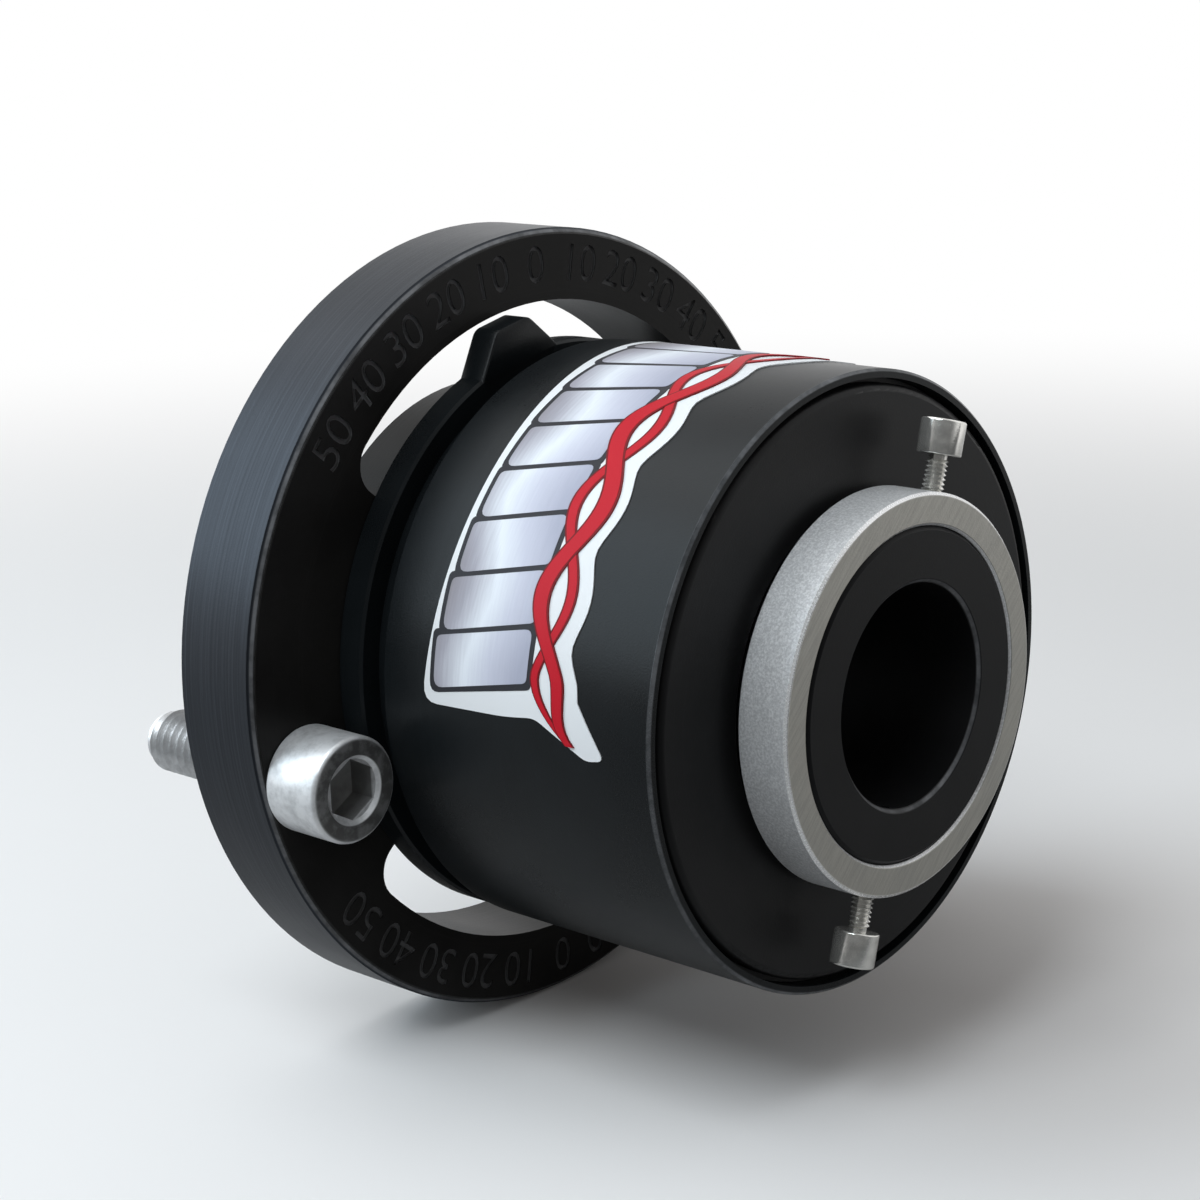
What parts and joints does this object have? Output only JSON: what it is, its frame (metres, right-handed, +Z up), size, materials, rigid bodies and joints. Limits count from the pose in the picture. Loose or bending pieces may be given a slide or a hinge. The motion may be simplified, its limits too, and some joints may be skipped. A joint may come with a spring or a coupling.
{
  "type": "slip ring",
  "caption": "Through-bore slip ring: a black cylinder with a clamping drive collar on its rotor, fixed in front of a windowed mounting ring with bolts that stand out behind.",
  "frame": {"origin": "on the shaft axis, in the plane of the mounting ring's back face", "axes": "+X along the shaft axis from the mounting ring to the drive collar, +Z up, with the mounting ring's windows above and below"},
  "size_m": [0.0637, 0.0762, 0.0762],
  "materials": {
    "ring_black": "black anodised, fine turning marks",
    "housing_black": "black anodised over bead blasting, satin",
    "cap_black": "black anodised, satin",
    "sleeve_black": "black anodised, matt",
    "collar_grey": "bead blasted, clear anodised",
    "bolt_steel": "bright stainless, turned and knurled",
    "screw_steel": "bright stainless",
    "bearing_steel": "ground and polished",
    "cage_brass": "plain",
    "contact_gold": "gold plated",
    "wire_gold": "gold alloy wire",
    "insulator_cream": "moulded",
    "holder_green": "glass-filled laminate",
    "seal_rubber": "matt",
    "label_print": "printed vinyl under clear laminate"
  },
  "bodies": {
    "stator": {"bracket_bolt_left": "bolt_steel", "bracket_bolt_right": "bolt_steel", "brush_holder_a": "holder_green", "brush_holder_b": "holder_green", "brush_wires_a": "wire_gold", "brush_wires_b": "wire_gold", "cap_o_ring": "seal_rubber", "flange_screw_1": "screw_steel", "flange_screw_2": "screw_steel", "flange_screw_3": "screw_steel", "flange_screw_4": "screw_steel", "front_bearing_outer_race": "bearing_steel", "front_cap": "cap_black", "housing": "housing_black", "lead_grommet": "seal_rubber", "mounting_ring": "ring_black", "rear_bearing_outer_race": "bearing_steel", "rear_seal": "seal_rubber"},
    "rotor": {"rotor_sleeve": "sleeve_black", "rotor_collar": "collar_grey", "set_screw_top": "screw_steel", "set_screw_bottom": "screw_steel", "collar_spacer": "bearing_steel", "retaining_clip": "bearing_steel", "ring_carrier": "insulator_cream", "stack_clamp_ring": "cage_brass", "front_bearing_inner_race": "bearing_steel", "rear_bearing_inner_race": "bearing_steel", "contact_ring_1": "contact_gold", "contact_ring_2": "contact_gold", "contact_ring_3": "contact_gold", "contact_ring_4": "contact_gold", "contact_ring_5": "contact_gold", "contact_ring_6": "contact_gold", "contact_ring_7": "contact_gold", "contact_ring_8": "contact_gold", "insulator_1": "insulator_cream", "insulator_2": "insulator_cream", "insulator_3": "insulator_cream", "insulator_4": "insulator_cream", "insulator_5": "insulator_cream", "insulator_6": "insulator_cream", "insulator_7": "insulator_cream", "insulator_8": "insulator_cream", "insulator_9": "insulator_cream"},
    "front_ball_set": {"front_ball_cage": "cage_brass", "front_balls": "bearing_steel"},
    "rear_ball_set": {"rear_ball_cage": "cage_brass", "rear_balls": "bearing_steel"}
  },
  "joints": [
    {"name": "rotor_spin", "type": "hinge", "parent": "stator", "child": "rotor", "pos_m": [0, 0, 0], "axis": [1, 0, 0], "continuous": true},
    {"name": "front_cage_spin", "type": "hinge", "parent": "stator", "child": "front_ball_set", "pos_m": [0, 0, 0], "axis": [1, 0, 0], "continuous": true},
    {"name": "rear_cage_spin", "type": "hinge", "parent": "stator", "child": "rear_ball_set", "pos_m": [0, 0, 0], "axis": [1, 0, 0], "continuous": true}
  ],
  "couplings": [
    {"joint": "front_cage_spin", "follows": "rotor_spin", "ratio": 0.44722},
    {"joint": "rear_cage_spin", "follows": "rotor_spin", "ratio": 0.44722}
  ]
}
